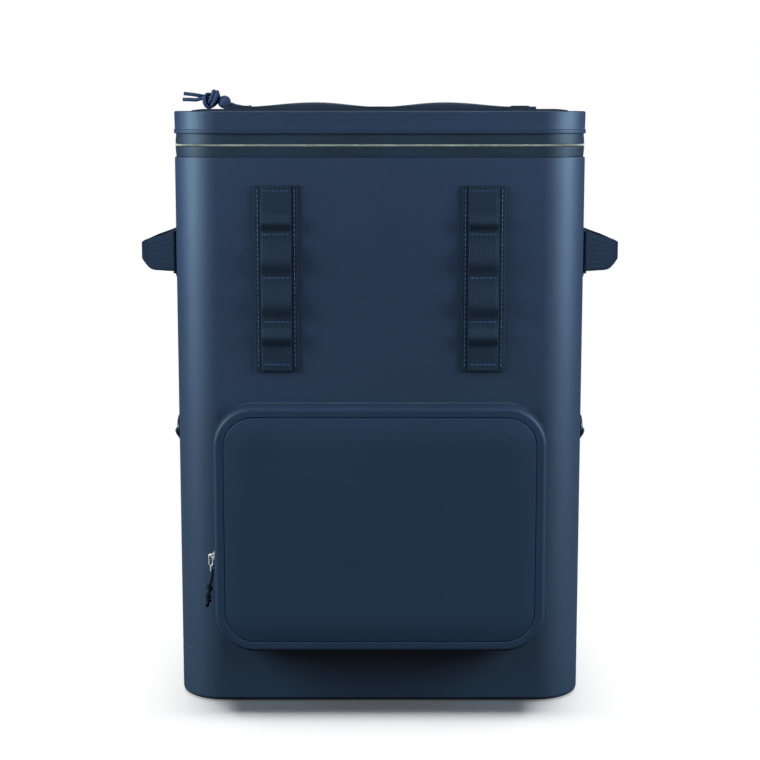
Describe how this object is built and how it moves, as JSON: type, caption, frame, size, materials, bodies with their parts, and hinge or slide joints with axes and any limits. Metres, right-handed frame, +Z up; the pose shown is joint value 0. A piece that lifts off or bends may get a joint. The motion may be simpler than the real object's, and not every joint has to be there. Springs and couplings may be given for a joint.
{
  "type": "cooler backpack",
  "caption": "Soft insulated cooler backpack: a padded tub with a zipped flat lid, a moulded front pocket, webbing ladders, side handles and rings, a padded back and shoulder straps.",
  "frame": {"origin": "centre of the flat bottom, on the surface that the bag stands on", "axes": "+Z up to the lid, -Y towards the front with the pocket, +X to the right seen from the front"},
  "size_m": [0.4416, 0.3226, 0.5465],
  "materials": {
    "coated_fabric": "navy coated nylon, matte with a soft satin sheen at the corners",
    "pocket_fabric": "heat-moulded navy laminate, matte",
    "zip_tape": "dark coated zip tape",
    "zip_coil": "grey-beige zip coil",
    "webbing": "woven navy webbing",
    "cord": "braided navy cord",
    "thin_cord": "thin black cord",
    "puller_metal": "bright nickel-plated zinc",
    "ring_metal": "dark gunmetal plating",
    "mesh_fabric": "dark air mesh over foam",
    "moulded_plastic": "moulded near-black acetal"
  },
  "bodies": {
    "root": {"body_shell": "coated_fabric", "lid": "coated_fabric", "zipper_tape_lower": "zip_tape", "zipper_tape_upper": "zip_tape", "zipper_coil": "zip_coil", "lid_hinge": "coated_fabric", "lid_webbing": "webbing", "lid_strap": "webbing", "molle_backing_left": "webbing", "molle_backing_right": "webbing", "molle_strap_left": "webbing", "molle_strap_right": "webbing", "pocket_rear": "pocket_fabric", "pocket_tape_rear": "zip_tape", "pocket_coil": "zip_coil", "pocket_tape_front": "zip_tape", "pocket_gusset": "pocket_fabric", "pocket_shell": "pocket_fabric", "pocket_slider": "puller_metal", "pocket_ring": "puller_metal", "pocket_pull_cord": "thin_cord", "pocket_pull_tail": "thin_cord", "pocket_pull_knot_upper": "thin_cord", "pocket_pull_knot_lower": "thin_cord", "handle_patch_left": "webbing", "handle_patch_right": "webbing", "handle_left": "webbing", "handle_right": "webbing", "ring_tab_left": "coated_fabric", "ring_tab_right": "coated_fabric", "side_ring_left": "ring_metal", "side_ring_right": "ring_metal", "back_pad": "mesh_fabric", "strap_yoke": "coated_fabric", "shoulder_strap_left": "mesh_fabric", "shoulder_strap_right": "mesh_fabric", "ladder_lock_left": "moulded_plastic", "ladder_lock_right": "moulded_plastic", "adjuster_webbing_left": "webbing", "adjuster_webbing_right": "webbing", "strap_anchor_left": "coated_fabric", "strap_anchor_right": "coated_fabric", "main_slider": "moulded_plastic", "main_pull_cord_a": "cord", "main_pull_cord_b": "cord", "main_pull_tail_a": "cord", "main_pull_tail_b": "cord", "main_pull_bead": "cord", "main_pull_knot": "cord"}
  },
  "joints": []
}
